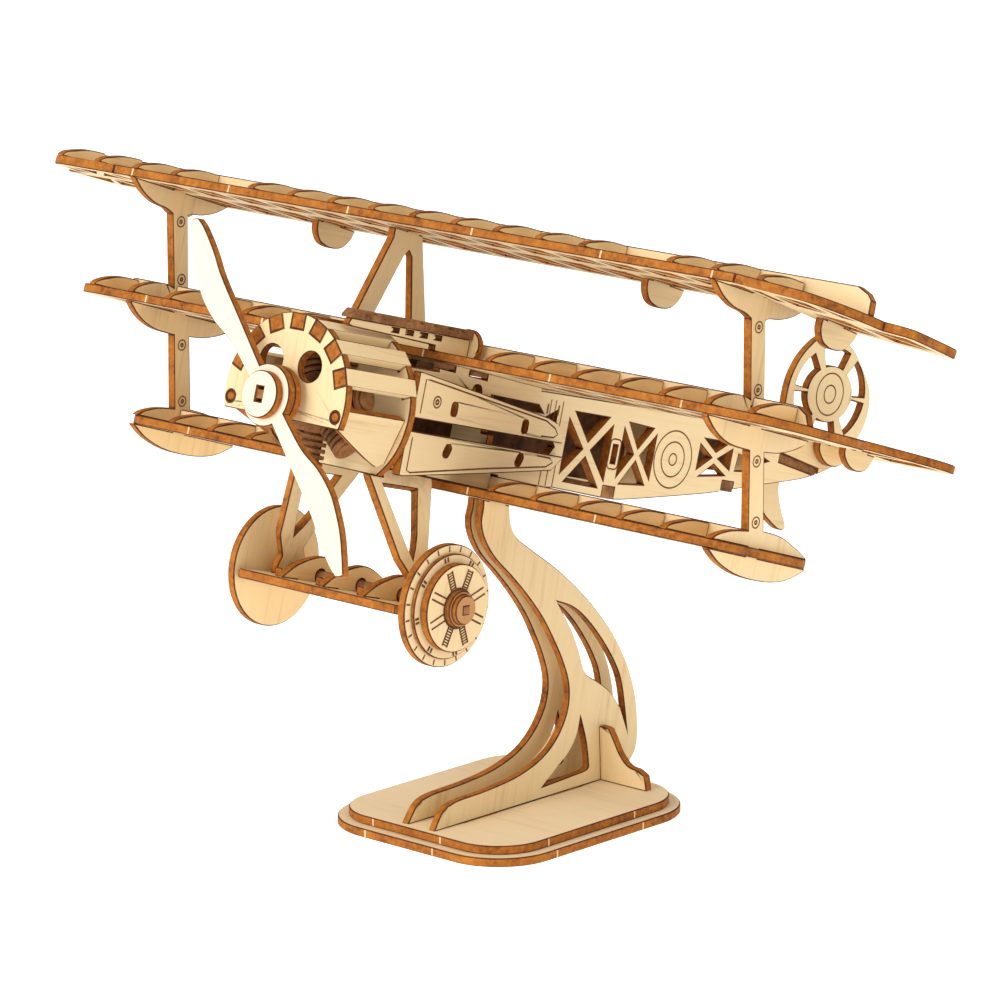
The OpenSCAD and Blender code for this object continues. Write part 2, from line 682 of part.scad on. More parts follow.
module middle_wing_spar() {
    color(birch) aircraft() in_wing(middle_wing) difference() {
        spar_bar(-100.5, 100.5, 13.7, 3.8, 4, 4);
        for (s = [-1, 1]) box([s * 84 - 1.03, 13, 1.8], [s * 84 + 1.03, 17, 5]);
    }
}

module middle_wing_ribs() {
    color(birch) aircraft() in_wing(middle_wing) for (k = [-8:8]) if (abs(k) > 1 && abs(k) != 7)
        wing_rib(k * rib_pitch, 13.7, 3.4);
}

lower_half = concat([[0, 0]], half_tip(lower_half_span, lower_chord, 6),
    [[0, lower_chord]]);

module lower_wing_plate() {
    color(birch) aircraft() in_wing(lower_wing) difference() {
        translate([0, 0, -ply]) linear_extrude(height = ply) polygon(whole(lower_half));
        wing_cutouts(-6, 6, 1);
        for (s = [-1, 1]) wing_slot(s * (strut_x + 1) - 1, s * (strut_x + 1) + 1, 12.6, 16.6);
        for (s = [-1, 1]) wing_slot(s * 1.45 - 1.2, s * 1.45 + 1.2, 25.2, 31);
    }
}

module lower_wing_spars() {
    color(birch) aircraft() in_wing(lower_wing)
        spar_bar(-strut_x, strut_x, 13.7, 3.4);
}

module lower_wing_ribs() {
    color(birch) aircraft() in_wing(lower_wing) for (k = [-6:6]) if (abs(k) > 1)
        wing_rib(k * rib_pitch, 13.7, 3.2);
}

strut_outline = concat(
    [[26.8, 44], [26.8, 40.4]],
    curve([[28, 40.1], [31, 37.6], [35, 35.7], [39, 34.9], [41.4, 34]], 4),
    curve([[46.1, 17.9], [43, 18.5], [39, 18.1], [35, 16.7], [33.6, 15.3]], 4),
    curve([[33.8, 12.8], [36, 10.9], [39, 9.2], [43, 8], [48.9, 7.5]], 4),
    curve([[53.4, -8.7], [48, -9.2], [43.8, -10.4], [41.8, -11.8]], 4),
    curve([[41.9, -13.8], [46, -16.2], [53, -18.2], [62, -18.7], [69, -17.7], [74.4, -15.2]], 4),
    curve([[74.2, -12.6], [70, -10.7], [64.6, -8.9], [58.4, -8.3]], 4),
    curve([[53.8, 7.6], [59, 8], [64, 9.3], [67, 10.8], [68, 12]], 4),
    [[54, 12.4], [51.9, 14.4], [50.9, 18]],
    curve([[46.4, 34.2], [47.6, 34.6], [51, 34.9], [55, 36], [58.4, 37.8]], 4),
    [[58.6, 44]]);

module interplane_strut(s) {
    difference() {
        side_plate(s > 0 ? strut_x : -strut_x - ply, strut_outline);
        wing_end(upper_wing, 12.9, 17, 0);
        wing_room(middle_wing, 14.4, 18.6, 34);
        in_wing(middle_wing) box([-90, 13.65, -0.05], [90, 15.75, 1.82]);
        wing_room(lower_wing, 12.6, 16.6, 33);
    }
}

module interplane_strut_left() {
    color(birch) aircraft() interplane_strut(-1);
}

module interplane_strut_right() {
    color(birch) aircraft() interplane_strut(1);
}

// ---- tail ----

tail_half = concat([[0, -14]], curve([[8, -14.6], [14, -13.4], [24, -7], [33, 0.6],
    [38.6, 7], [40.4, 11], [39.6, 14.4], [36.4, 16]]), [[8, 17], [5, 15], [0, 15]]);

module in_tail() {
    translate([0, tail_line[0], tail_line[1]]) rotate([-tail_line[2], 0, 0]) children();
}

module tailplane() {
    color(birch) aircraft() in_tail() difference() {
        linear_extrude(height = ply) polygon(whole(tail_half));
        for (s = [-1, 1]) {
            for (x = [12.6, 20]) box([s * x - 1.05, 0.95, -1], [s * x + 1.05, 6.05, 3]);
            translate([0, 0, -1]) linear_extrude(height = 4) polygon([[s * 23, -3.6],
                [s * 32, 3.6], [s * 23, 3.6]]);
            translate([0, 0, -1]) linear_extrude(height = 4) polygon([[s * 23, 6],
                [s * 34.4, 6], [s * 37, 12], [s * 23, 12]]);
        }
        box([-1.05, 0.95, -1], [1.05, 9.05, 3]);
    }
}

module tailplane_tabs() {
    color(birch) aircraft() in_tail() for (x = [-20, -12.6, 12.6, 20])
        side_plate(x - 1, concat([[1, ply], [1, 0], [-2.6, 0]], curve([[-2.6, 0], [-2.2, -2],
            [0.4, -4], [3.8, -4.6], [7.2, -3.3], [8.8, 0]], 4), [[6, 0], [6, ply]]));
}

rudder_y = 178.5;

module rudder() {
    color(birch) aircraft() difference() {
        side_plate(-1, concat(curve([[166, 12.2], [163.6, 15], [162.9, 19], [163.3, 24],
            [165.6, 29.1], [169.8, 33.4], [173.3, 35], [177.3, 35.1], [184, 33.1],
            [188.6, 29.4], [192.4, 25.4], [194, 21.6], [193.9, 17.4], [192.3, 13.4],
            [189.3, 10], [185.7, 8], [182, 7]], 4), [[181, 4], [166, 4]]));
        for (q = [[4, 52], [-52, -4], [128, 176], [184, 232], [68, 112], [248, 292]])
            side_plate(-2, concat(arc(rudder_y, 21.8, 12.9, 10.8, q[0], q[1], 8),
                arc(rudder_y, 21.8, 8.4, 6.6, q[1], q[0], 8)), 4);
        in_tail() {
            box([-3, -20, -9], [3, 1, ply]);
            box([-3, 1, -9], [3, 9, 0]);
            box([-3, 9, -9], [3, 15, ply]);
        }
    }
}

module tail_skid() {
    color(birch) aircraft() side_plate(-1, concat([[150, 7.6], [150, 2.4]], curve([[157, 1.4],
        [159.4, -1], [160.7, -4.7], [162.4, -7.4], [164.8, -9], [169.4, -10.9], [171.6, -10],
        [168.6, -5.6], [166.6, -1.4], [167, 3], [168, 5.4]], 4), [[168, 7.6]]));
}

// ---- undercarriage ----

// plate of one V strut in its own plane: (y, distance down from z = -13)
gear_slope = 23.5;
gear_top = [10.5, -13];

module in_gear(s) {
    translate([s * gear_top[0], 0, gear_top[1]]) rotate([0, -s * gear_slope, 0]) children();
}

gear_outer = concat([[17.6, 4.2], [37.8, 4.2], [37.7, 0], [33.8, -14.6], [33.2, -19.6]],
    curve([[35.2, -22], [36.2, -25], [34.6, -28.4], [33, -29], [30.6, -28.6], [28.6, -26],
    [28.2, -22.4]], 3), [[24.2, -17.4], [17.9, 0]]);
gear_inner = concat([[21.8, -1.4], [32.6, -1.4], [30.6, -11.6], [29.6, -14.6]],
    [[28.4, -17.2], [27.2, -14.6]]);

module gear_strut(s) {
    difference() {
        in_gear(s) difference() {
            translate([-ply / 2, 0, 0]) rotate([90, 0, 90]) linear_extrude(height = ply)
                polygon(gear_outer);
            translate([-2, 0, 0]) rotate([90, 0, 90]) linear_extrude(height = 4)
                polygon(gear_inner);
        }
        bar_x(axle_pos[0], axle_pos[1], -26, 26, axle_r + 0.3, 48);
        box([-30, 0, -60], [30, 60, gear_plate_top]);
        box([-30, 0, -12.5], [30, 22, 5]);
        side_plate(-30, [[22, -10.7], [41.8, -11.5], [41.8, 5], [22, 5]], 60);
    }
}

gear_plate_top = -37.9;

module gear_strut_left() {
    color(birch) aircraft() gear_strut(-1);
}

module gear_strut_right() {
    color(birch) aircraft() gear_strut(1);
}

module gear_wing_plate() {
    color(birch) aircraft() difference() {
        translate([0, 0, gear_plate_top - ply]) linear_extrude(height = ply) polygon([[-23, 20.5],
            [23, 20.5], [23.4, 21.4], [23.4, 44.6], [23, 45.5], [-23, 45.5], [-23.4, 44.6],
            [-23.4, 21.4]]);
        for (x = [-12, 0, 12]) box([x - 1.05, 26 - fit, -42], [x + 1.05, 38 + fit, -36]);
    }
}

module gear_wing_ribs() {
    color(birch) aircraft() for (x = [-12, 0, 12]) difference() {
        side_plate(x - 1, concat([[26, gear_plate_top - ply], [26, gear_plate_top],
            [21.5, gear_plate_top]], curve([[21.5, -37.6], [25, -35], [29.6, -33], [34, -32.3],
            [38.6, -33.8], [42, -36], [44, -37.6]], 4), [[44, gear_plate_top],
            [38, gear_plate_top], [38, gear_plate_top - ply]]));
        bar_x(axle_pos[0], axle_pos[1], x - 2, x + 2, axle_r + 0.3, 48);
    }
    color(birch) aircraft() for (x = [-12, 0, 12])
        box([x - 3.4, 23.4, gear_plate_top], [x - 1, 25, gear_plate_top + 1.8]);
}

// outer face of the rim, outer face of the spoked disc, end of the axle's round part
spoke_x = 27;
hub_x = 29;
axle_end = 29.8;

module axle() {
    color(burnt) aircraft() {
        bar_x(axle_pos[0], axle_pos[1], -axle_end, axle_end, axle_r, 48);
        for (s = [-1, 1]) translate([s * (axle_end + 0.8), axle_pos[0], axle_pos[1]])
            rotate([12, 0, 0]) cube([2, 1.6, 1.6], center = true);
    }
}

// disc around the axle from x0 to x1, on the side given by s
module wheel_disc(s, x0, x1, r, hole) {
    difference() {
        bar_x(axle_pos[0], axle_pos[1], s > 0 ? x0 : -x1, s > 0 ? x1 : -x0, r, 96);
        bar_x(axle_pos[0], axle_pos[1], s > 0 ? x0 - 1 : -x1 - 1, s > 0 ? x1 + 1 : 1 - x0, hole);
    }
}

module wheel_tyre_left() {
    color(birch) aircraft() wheel_disc(-1, 24, 26, tyre_radius, axle_r + 0.02);
}

module wheel_tyre_right() {
    color(birch) aircraft() wheel_disc(1, 24, 26, tyre_radius, axle_r + 0.02);
}

module wheel_rims() {
    color(birch) aircraft() for (s = [-1, 1])
        wheel_disc(s, 26, spoke_x, rim_radius, axle_r + 0.02);
}

module wheel_spokes_left() {
    color(birch) aircraft() wheel_disc(-1, spoke_x, hub_x, spoke_disc_radius, axle_r + 0.02);
}

module wheel_spokes_right() {
    color(birch) aircraft() wheel_disc(1, spoke_x, hub_x, spoke_disc_radius, axle_r + 0.02);
}

module wheel_hub(s) {
    difference() {
        union() {
            wheel_disc(s, hub_x, hub_x + 1.2, 3.9, axle_r + 0.02);
            wheel_disc(s, hub_x + 1.2, hub_x + 2.4, 3.1, 0.6);
        }
        bar_x(axle_pos[0], axle_pos[1], -axle_end - 0.02, axle_end + 0.02, axle_r + 0.02, 48);
        translate([s * (axle_end + 1.2), axle_pos[0], axle_pos[1]]) rotate([12, 0, 0])
            cube([4, 1.62, 1.62], center = true);
    }
}

module wheel_hub_left() {
    color(birch) aircraft() wheel_hub(-1);
}

module wheel_hub_right() {
    color(birch) aircraft() wheel_hub(1);
}

base_lower_plate();
base_upper_plate();
stand_plate_left();
stand_plate_right();
stand_braces();
cowl_front_plate();
cowl_rear_ring();
cowl_slats();
cowl_cheek_left();
cowl_cheek_right();
radial_engine();
bearing_washer();
fuselage_side_left();
fuselage_side_right();
fuselage_formers();
fuselage_keel();
fuselage_deck();
fuselage_pegs();
fairing_upper_left();
fairing_upper_right();
fairing_lower_left();
fairing_lower_right();
fairing_standoffs();
gun_side_plates();
gun_top_plates();
gun_end_discs();
cabane_strut();
upper_wing_plate();
upper_wing_spar();
upper_wing_ribs();
upper_wing_tabs();
upper_wing_tips();
middle_wing_plate();
middle_wing_spar();
middle_wing_ribs();
lower_wing_plate();
lower_wing_spars();
lower_wing_ribs();
interplane_strut_left();
interplane_strut_right();
tailplane();
tailplane_tabs();
rudder();
tail_skid();
gear_strut_left();
gear_strut_right();
gear_wing_plate();
gear_wing_ribs();
axle();
wheel_tyre_left();
wheel_tyre_right();
wheel_rims();
wheel_spokes_left();
wheel_spokes_right();
wheel_hub_left();
wheel_hub_right();
propeller();
propeller_cap();
propeller_spacer();
propeller_shaft();
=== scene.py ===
import math
import random

import bpy
from mathutils import Matrix, Vector


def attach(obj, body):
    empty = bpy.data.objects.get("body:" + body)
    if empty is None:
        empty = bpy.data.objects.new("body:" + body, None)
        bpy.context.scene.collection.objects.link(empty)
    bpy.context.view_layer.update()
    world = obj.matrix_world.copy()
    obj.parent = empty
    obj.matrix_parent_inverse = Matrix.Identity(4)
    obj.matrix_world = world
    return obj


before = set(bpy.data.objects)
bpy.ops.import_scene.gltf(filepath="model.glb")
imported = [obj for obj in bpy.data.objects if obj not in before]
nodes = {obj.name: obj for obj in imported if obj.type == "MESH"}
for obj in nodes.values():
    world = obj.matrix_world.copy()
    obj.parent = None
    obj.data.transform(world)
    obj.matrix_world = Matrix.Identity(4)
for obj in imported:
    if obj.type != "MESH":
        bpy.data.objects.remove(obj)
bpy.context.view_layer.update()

# ---------------------------------------------------------------- the aircraft's axes

# Millimetres: x to port, y back from the cowling face, z up from the propeller axis,
# pitched nose-up into the frame's own axes.
PITCH = math.radians(16)
C, S = math.cos(PITCH), math.sin(PITCH)
NOSE_Y, NOSE_Z = -69.4, 105.9
MM = 0.001


def air(x, y, z):
    """Point of the aircraft in the frame, in metres."""
    return Vector((x, y * C + z * S + NOSE_Y, -y * S + z * C + NOSE_Z)) * MM


def air_dir(x, y, z):
    """Direction of the aircraft in the frame."""
    return Vector((x, y * C + z * S, -y * S + z * C)).normalized()


# ---------------------------------------------------------------- sizes in mm, angles

SIDE_X = 11.5                                   # outer face of the fuselage sides
WINGS = {                                       # leading edge y and z, incidence in degrees
    "upper": (27.7, 42.3, 4.5),
    "middle": (33.1, 15.4, 3.0),
    "lower": (41.6, -11.4, 2.5),
}
TAIL_INCIDENCE = 6.0
# by side, -1 starboard and 1 port: only the port tip panel drops, and they twist opposite ways
TIP_TWIST = {-1: math.radians(-1.6), 1: math.radians(3.4)}
TIP_DROP = {-1: 0.0, 1: math.radians(3.6)}
STAND_LEAN = math.radians(2.07)
CHEEK_LEAN = math.radians(20)
GEAR_LEAN = math.radians(23.5)
SLAT_STEP = 23                                  # degrees from slat to slat
FAIRINGS = {"upper": (16.3, 13.9), "lower": (15.6, 13.8)}   # half spread, front and rear
FAIRING_FRONT, FAIRING_LENGTH = 22, 50
STRUT_OUTER, STRUT_INNER = 85.0, 83.0           # faces of the interplane struts
STRUT_TOP = (41.4, 34.8)                        # y and z of the strut's front edge at its top
STRUT_RAKE = 0.277
RUDDER = (178.5, 21.8)
RUDDER_FACE = 1.0
AXLE = (33.0, -36.5)
TYRE_FACE, RIM_FACE, SPOKE_FACE = 26.0, 27.0, 29.0
BASE_LAYERS = {"lower": (0, 28.6, 33.45), "upper": (2, 26.1, 30.95)}    # z, half widths
BEVEL = 0.24
FINE_LINE, LINE, WIDE_LINE = 0.3, 0.34, 0.4
NIB_WIDTH, NIB_LOW, NIB_HIGH = 0.45, 0.22, 1.78     # the heights are from a sheet's underside
NIB_LIFT = 0.02
WING_UNDERSIDE = -2

# ---------------------------------------------------------------- materials


def new_material(name):
    m = bpy.data.materials.new(name)
    m.use_nodes = True
    return m, m.node_tree, m.node_tree.nodes["Principled BSDF"]


def add(nt, kind, **values):
    """New node with input values or settings given by name."""
    n = nt.nodes.new(kind)
    for k, v in values.items():
        if k in n.inputs:
            n.inputs[k].default_value = v
        else:
            setattr(n, k, v)
    return n


def grain_coords(nt, axis, across):
    """Object coordinates turned so that the grain runs along X."""
    tc = add(nt, "ShaderNodeTexCoord")
    axis = Vector(axis).normalized()
    side = Vector(across).normalized()
    rows = Matrix((axis, side, axis.cross(side).normalized()))
    turned = add(nt, "ShaderNodeMapping", Rotation=rows.to_euler())
    nt.links.new(tc.outputs["Object"], turned.inputs["Vector"])
    return turned.outputs["Vector"]


def stretched(nt, vec, scale, shift):
    m = add(nt, "ShaderNodeMapping", Scale=scale, Location=shift)
    nt.links.new(vec, m.inputs["Vector"])
    return m.outputs["Vector"]


def noise(nt, vec, **values):
    n = add(nt, "ShaderNodeTexNoise", **values)
    nt.links.new(vec, n.inputs["Vector"])
    return n.outputs["Fac"]


def blend(nt, fine, broad, share):
    """The given share of the fine noise and the rest from the broad one."""
    rest = add(nt, "ShaderNodeMath", operation="MULTIPLY")
    rest.inputs[1].default_value = 1 - share
    nt.links.new(broad, rest.inputs[0])
    both = add(nt, "ShaderNodeMath", operation="MULTIPLY_ADD")
    both.inputs[1].default_value = share
    nt.links.new(fine, both.inputs[0])
    nt.links.new(rest.outputs[0], both.inputs[2])
    return both.outputs[0]


def colour_ramp(nt, bsdf, fac, low, mid, high):
    """Base colour from three (position, colour) stops."""
    ramp = add(nt, "ShaderNodeValToRGB")
    stops = ramp.color_ramp.elements
    stops[0].position, stops[0].color = low[0], (*low[1], 1)
    stops[1].position, stops[1].color = high[0], (*high[1], 1)
    stops.new(mid[0]).color = (*mid[1], 1)
    nt.links.new(fac, ramp.inputs["Fac"])
    nt.links.new(ramp.outputs["Color"], bsdf.inputs["Base Color"])


def surface(nt, bsdf, fine, broad, rough, strength, depth, specular):
    """Roughness from the broad noise, bump from the fine one."""
    span = add(nt, "ShaderNodeMapRange")
    span.inputs["To Min"].default_value = rough[0]
    span.inputs["To Max"].default_value = rough[1]
    nt.links.new(broad, span.inputs["Value"])
    nt.links.new(span.outputs["Result"], bsdf.inputs["Roughness"])
    bump = add(nt, "ShaderNodeBump", Strength=strength, Distance=depth)
    nt.links.new(fine, bump.inputs["Height"])
    nt.links.new(bump.outputs["Normal"], bsdf.inputs["Normal"])
    bsdf.inputs["Specular IOR Level"].default_value = specular


def ply_face(name, axis, across, pale, dark, seed):
    """Pale birch face: long fine grain and a soft cloudy figure."""
    m, nt, bsdf = new_material(name)
    vec = grain_coords(nt, axis, across)
    fine = noise(nt, stretched(nt, vec, (38, 900, 900), (seed, seed * 1.7, seed * 0.3)),
                 Scale=1.0, Detail=5.0, Roughness=0.65)
    broad = noise(nt, stretched(nt, vec, (14, 95, 95), (seed * 2.1, seed, seed)),
                  Scale=1.0, Detail=3.0, Roughness=0.55, Distortion=0.6)
    mid = [p * 0.8 + d * 0.2 for p, d in zip(pale, dark)]
    colour_ramp(nt, bsdf, blend(nt, fine, broad, 0.55), (0.30, dark), (0.46, mid), (0.68, pale))
    surface(nt, bsdf, fine, broad, (0.52, 0.72), 0.12, 0.00008, 0.3)
    return m


def mottled_wood(name, light, mid, dark, scale=1.0):
    """Mottled wood in three colours: laser-burnt orange brown with charred streaks, and near-black
    painted shadow for the keel.
    """
    m, nt, bsdf = new_material(name)
    vec = add(nt, "ShaderNodeTexCoord").outputs["Object"]
    fine = noise(nt, vec, Scale=420.0 * scale, Detail=4.0, Roughness=0.7)
    broad = noise(nt, vec, Scale=95.0 * scale, Detail=2.0, Roughness=0.5)
    colour_ramp(nt, bsdf, blend(nt, fine, broad, 0.6), (0.34, dark), (0.48, mid), (0.66, light))
    surface(nt, bsdf, fine, broad, (0.6, 0.85), 0.25, 0.00012, 0.2)
    return m


# birch tones by a word in the node's name: (pale, dark)
TONES = {
    "plain": ((0.83, 0.635, 0.355), (0.65, 0.435, 0.195)),
    "base": ((0.80, 0.64, 0.41), (0.68, 0.50, 0.285)),
    "rib": ((0.88, 0.61, 0.29), (0.72, 0.43, 0.16)),
    "propeller": ((0.88, 0.71, 0.53), (0.77, 0.57, 0.38)),
    "hub": ((0.50, 0.25, 0.09), (0.34, 0.14, 0.045)),
}
edge = mottled_wood("scorched_edge", (0.48, 0.175, 0.022), (0.34, 0.105, 0.011), (0.14, 0.04, 0.005), 2.0)
char = mottled_wood("charred_line", (0.15, 0.045, 0.012), (0.09, 0.026, 0.008), (0.04, 0.012, 0.005), 2.0)
groove = mottled_wood("engraved_line", (0.22, 0.085, 0.028), (0.14, 0.05, 0.016), (0.07, 0.024, 0.009))
# painted shadow: near-black mottled brown for the keel, a dark sheet inside the fuselage that
# stands in for the shadow seen through the lattice openings
painted_shadow = mottled_wood("painted_shadow_ply", (0.16, 0.065, 0.022), (0.09, 0.034, 0.012), (0.035, 0.013, 0.006))
bare = mottled_wood("pale_nib", (0.86, 0.64, 0.42), (0.76, 0.5, 0.28), (0.6, 0.36, 0.18))
dim = mottled_wood("browned_ply", (0.40, 0.19, 0.07), (0.24, 0.10, 0.033), (0.09, 0.032, 0.011))

# ---------------------------------------------------------------- which way each plate lies

X, Y, Z = Vector((1, 0, 0)), Vector((0, 1, 0)), Vector((0, 0, 1))
BACK, UP = air_dir(0, 1, 0), air_dir(0, 0, 1)
SIDES = ((-1, "left"), (1, "right"))


def toe(spread):
    """Angle by which a fairing closes in toward the tail."""
    return math.atan((spread[0] - spread[1]) / FAIRING_LENGTH)


def wing_dir(x, u, z, incidence):
    """Direction given in the axes of a wing at an incidence in degrees."""
    a = math.radians(incidence)
    return air_dir(x, u * math.cos(a) + z * math.sin(a), z * math.cos(a) - u * math.sin(a))


def tip_dir(s, x, u, z):
    """Direction given in the axes of one tip panel of the upper wing."""
    twisted = Matrix.Rotation(-TIP_TWIST[s], 3, "X") @ Vector((x, u, z))
    dropped = Matrix.Rotation(s * TIP_DROP[s], 3, "Y") @ twisted
    return wing_dir(*dropped, WINGS["upper"][2])


# node: (plate normals, grain axis, axis across the grain)
PLATES = {}


def plates(names, normals, axis, across):
    for name in names.split():
        PLATES[name] = (normals, axis, across)


plates("base_lower_plate base_upper_plate", [Z], X, Y)
plates("stand_braces", [Y], Z, Y)
plates("cowl_front_plate bearing_washer propeller_spacer", [BACK], UP, X)
plates("cowl_rear_ring fuselage_formers gun_end_discs propeller_cap", [BACK], X, BACK)
plates("propeller", [BACK], air_dir(0.676, 0, -0.738), BACK)
plates("fuselage_side_left fuselage_side_right tailplane_tabs tail_skid gun_side_plates "
       "gear_wing_ribs middle_wing_ribs lower_wing_ribs wheel_rims", [X], BACK, X)
plates("rudder cabane_strut interplane_strut_left interplane_strut_right wheel_tyre_left "
       "wheel_tyre_right wheel_spokes_left wheel_spokes_right wheel_hub_left wheel_hub_right",
       [X], UP, X)
plates("fuselage_deck", [UP], BACK, X)
plates("gear_wing_plate", [UP], X, BACK)
plates("tailplane", [wing_dir(0, 0, 1, TAIL_INCIDENCE)], X, BACK)
for w, spars in (("upper", "spar"), ("middle", "spar"), ("lower", "spars")):
    normal = wing_dir(0, 0, 1, WINGS[w][2])
    plates(w + "_wing_plate", [normal], X, BACK)
    plates(w + "_wing_" + spars, [normal.cross(X)], X, BACK)
plates("upper_wing_tips", [tip_dir(s, 0, 0, 1) for s in (-1, 1)], X, BACK)
plates("upper_wing_tabs upper_wing_ribs", [X] + [tip_dir(s, 1, 0, 0) for s in (-1, 1)], BACK, X)
for s, side in SIDES:
    plates("stand_plate_" + side, [Vector((math.cos(STAND_LEAN), 0, s * math.sin(STAND_LEAN)))],
           (0, 0.25, 1), X)
    plates("cowl_cheek_" + side, [air_dir(s * math.cos(CHEEK_LEAN), 0, -math.sin(CHEEK_LEAN))],
           BACK, UP)
    plates("gear_strut_" + side, [air_dir(s * math.cos(GEAR_LEAN), 0, math.sin(GEAR_LEAN))], UP, X)
    for level, spread in FAIRINGS.items():
        plates("fairing_%s_%s" % (level, side),
               [air_dir(s * math.cos(toe(spread)), math.sin(toe(spread)), 0)], BACK, X)
slat_angles = [math.radians(SLAT_STEP * k) for k in range(-3, 4)]
plates("cowl_slats", [air_dir(math.sin(a), 0, math.cos(a)) for a in slat_angles], BACK, X)

BROWN = {"radial_engine", "fuselage_keel", "fuselage_pegs", "fairing_standoffs", "gun_top_plates",
         "propeller_shaft", "axle"}

# ---------------------------------------------------------------- the CAD nodes' looks

FACE, EDGE, CHAR = 0, 1, 2                      # material places on a plate


def bevelled(obj):
    """Charred line along every cut corner of a plate."""
    weld = obj.modifiers.new("weld", "WELD")
    weld.merge_threshold = 1e-6
    b = obj.modifiers.new("soft_edge", "BEVEL")
    b.width = BEVEL * MM
    b.segments = 1
    b.limit_method = "ANGLE"
    b.angle_limit = math.radians(40)
    b.use_clamp_overlap = False
    b.material = CHAR


tones = random.Random(11)
for name, obj in nodes.items():
    obj.data.materials.clear()
    if name in BROWN or name not in PLATES:
        # the keel gets the near-black painted shadow, the other brown nodes the browned ply
        obj.data.materials.append(painted_shadow if name == "fuselage_keel" else dim)
        continue
    normals, axis, across = PLATES[name]
    k = tones.uniform(0.95, 1.04)
    kind = next((t for t in TONES if t in name), "plain")
    pale, dark = TONES[kind]
    face = ply_face("ply_" + name, axis, across, [min(c * k, 0.95) for c in pale],
                    [c * k for c in dark], tones.uniform(0, 40))
    for m in (face, edge, char):
        obj.data.materials.append(m)
    for p in obj.data.polygons:
        flat = max(abs(p.normal.dot(n.normalized())) for n in normals)
        p.material_index = FACE if flat > 0.97 else EDGE
        p.use_smooth = False
    bevelled(obj)

# ---------------------------------------------------------------- engraved detail


def piece(name, verts, faces, material, body):
    me = bpy.data.meshes.new(name)
    me.from_pydata(verts, [], faces)
    me.update()
    obj = bpy.data.objects.new(name, me)
    bpy.context.scene.collection.objects.link(obj)
    me.materials.append(material)
    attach(obj, body)


def polar(centre, degrees, r, aside=0.0):
    """Point at radius r from the centre, moved aside at right angles to that radius."""
    a = math.radians(degrees)
    return (centre[0] + r * math.cos(a) - aside * math.sin(a),
            centre[1] + r * math.sin(a) + aside * math.cos(a))


def rounded_box(cx, cy, hw, hh, r, steps=5):
    """Corner-rounded rectangle as a closed list of points, half sizes hw and hh."""
    quarters = ((1, 1), (-1, 1), (-1, -1), (1, -1))
    return [polar((cx + sx * (hw - r), cy + sy * (hh - r)), 90 * (k + i / steps), r)
            for k, (sx, sy) in enumerate(quarters) for i in range(steps + 1)]


class Engraving:
    """Thin lines and small patches on one plate face, kept as one mesh.

    place(u, v, h) gives the frame's point at u, v on the face and h outside it.
    """

    def __init__(self, name, place, body="airframe", lift=0.025):
        self.name, self.place, self.body, self.lift = name, place, body, lift
        self.verts, self.faces = [], []

    def line(self, pts, width, closed=False):
        n = len(pts)
        base = len(self.verts)
        for i in range(n):
            p = Vector(pts[i])
            a = Vector(pts[i - 1]) if (i > 0 or closed) else p
            b = Vector(pts[(i + 1) % n]) if (i < n - 1 or closed) else p
            d = (b - a).normalized()
            half = Vector((-d.y, d.x)) * width / 2
            for q in (p + half, p - half):
                self.verts.append(self.place(q.x, q.y, self.lift))
        for i in range(n if closed else n - 1):
            j = (i + 1) % n
            self.faces.append((base + 2 * i, base + 2 * i + 1, base + 2 * j + 1, base + 2 * j))
        return self

    def ring(self, centre, r, width, steps):
        return self.line([polar(centre, 360 * i / steps, r) for i in range(steps)], width, True)

    def nib(self, x, underside):
        """Pale patch across the edge of a sheet."""
        left, right = x - NIB_WIDTH / 2, x + NIB_WIDTH / 2
        low, high = underside + NIB_LOW, underside + NIB_HIGH
        base = len(self.verts)
        for u, v in ((left, low), (right, low), (right, high), (left, high)):
            self.verts.append(self.place(u, v, self.lift))
        self.faces.append(tuple(range(base, base + 4)))

    def done(self, material=groove):
        piece(self.name, self.verts, self.faces, material, self.body)


def side_face(x, outward):
    """Upright fore-and-aft face at x; outward is 1 or -1, the way along x that it looks."""
    return lambda y, z, h: air(x + outward * h, y, z)


def fairing_face(s, spread):
    """Outer face of a fairing on side s."""
    a = toe(spread)
    return lambda y, z, h: air(s * (spread[0] + h - (y - FAIRING_FRONT) * math.sin(a)),
                               FAIRING_FRONT + (y - FAIRING_FRONT) * math.cos(a), z)


def nose_face(y0):
    return lambda x, z, h: air(x, y0 - h, z)


def wing_edge(w):
    """Leading edge of a wing, v measured from the plate's top."""
    y0, z0, incidence = WINGS[w]
    a = math.radians(incidence)
    return lambda x, v, h: air(x, y0 - h * math.cos(a) + v * math.sin(a),
                               z0 + h * math.sin(a) + v * math.cos(a))


def base_front(half):
    return lambda x, z, h: Vector((x, -half - h, z)) * MM


def base_side(half, s):
    return lambda y, z, h: Vector((s * (half + h), y, z)) * MM


def fuselage_lines(s, tag):
    """Panel marks, plain rings and the outline round the slot."""
    e = Engraving("side_lines_" + tag, side_face(s * SIDE_X, s))
    for y in (70.4, 72.0, 74.4):
        e.line([(y, 9.6), (y, 3.2)], FINE_LINE)
    for y in (71.2, 73.4, 75.6):
        e.line([(y, -4.2), (y, -9.0)], FINE_LINE)
    for y in (69.6, 73.2):
        e.line([(y, 8.6), (y, 6.4)], 0.5)
    for r, steps in ((6.4, 48), (3.9, 40), (1.3, 20)):
        e.ring((114.3, 1.2), r, LINE, steps)
    e.line(rounded_box(94.2, 0.2, 1.75, 3.3, 1.0), LINE, True)
    e.done()


